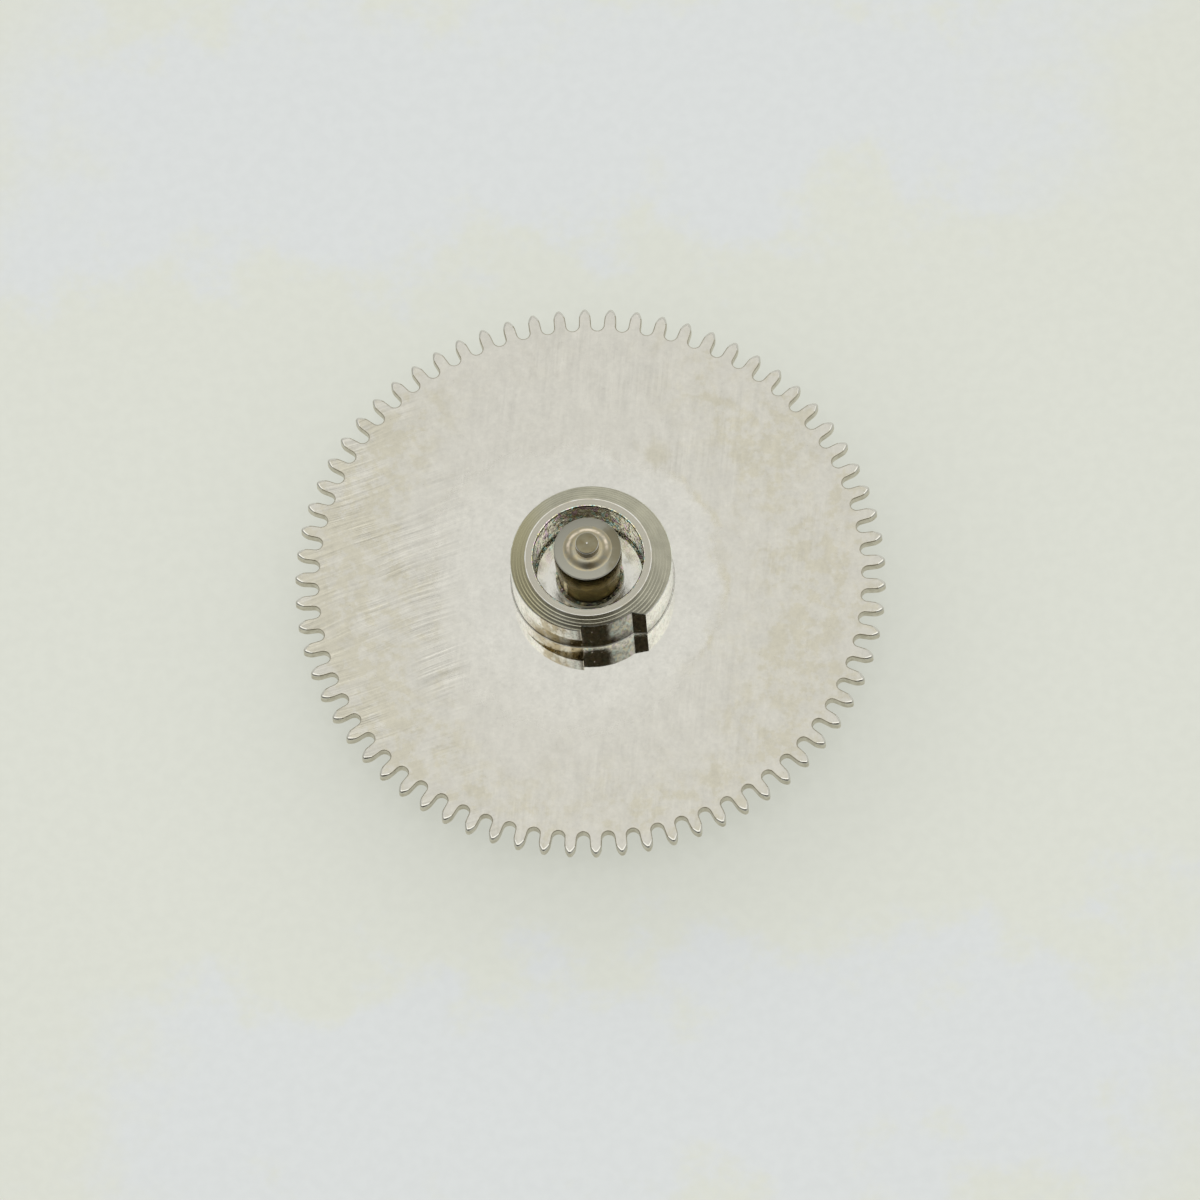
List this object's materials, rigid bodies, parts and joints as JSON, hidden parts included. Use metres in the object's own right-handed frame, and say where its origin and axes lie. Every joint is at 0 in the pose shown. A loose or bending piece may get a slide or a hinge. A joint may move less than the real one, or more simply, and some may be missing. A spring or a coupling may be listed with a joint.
{
  "type": "barrel arbor with ratchet wheel",
  "caption": "Watch barrel arbor riveted to a thin toothed ratchet wheel, with a hollow hooked core for the mainspring and a staff with a pivot at each end.",
  "frame": {"origin": "on the arbor's axis, at the free end of the bridge-side pivot, which is the lowest point of the part", "axes": "+Z along the arbor's axis from the bridge-side pivot towards the hooked core and the barrel-side pivot; +X to the right in the picture, +Y away from its viewer"},
  "size_m": [0.0104, 0.0104, 0.0024],
  "materials": {
    "wheel_steel": "fine brushed faces with scratches, a smoother ring round the core, polished bevels on the teeth",
    "core_steel": "polished walls, fine turning lines on the sloping top",
    "staff_steel": "turned and burnished, satin faces"
  },
  "bodies": {
    "root": {"ratchet_wheel": "wheel_steel", "arbor_core": "core_steel", "arbor_staff": "staff_steel"}
  },
  "joints": []
}
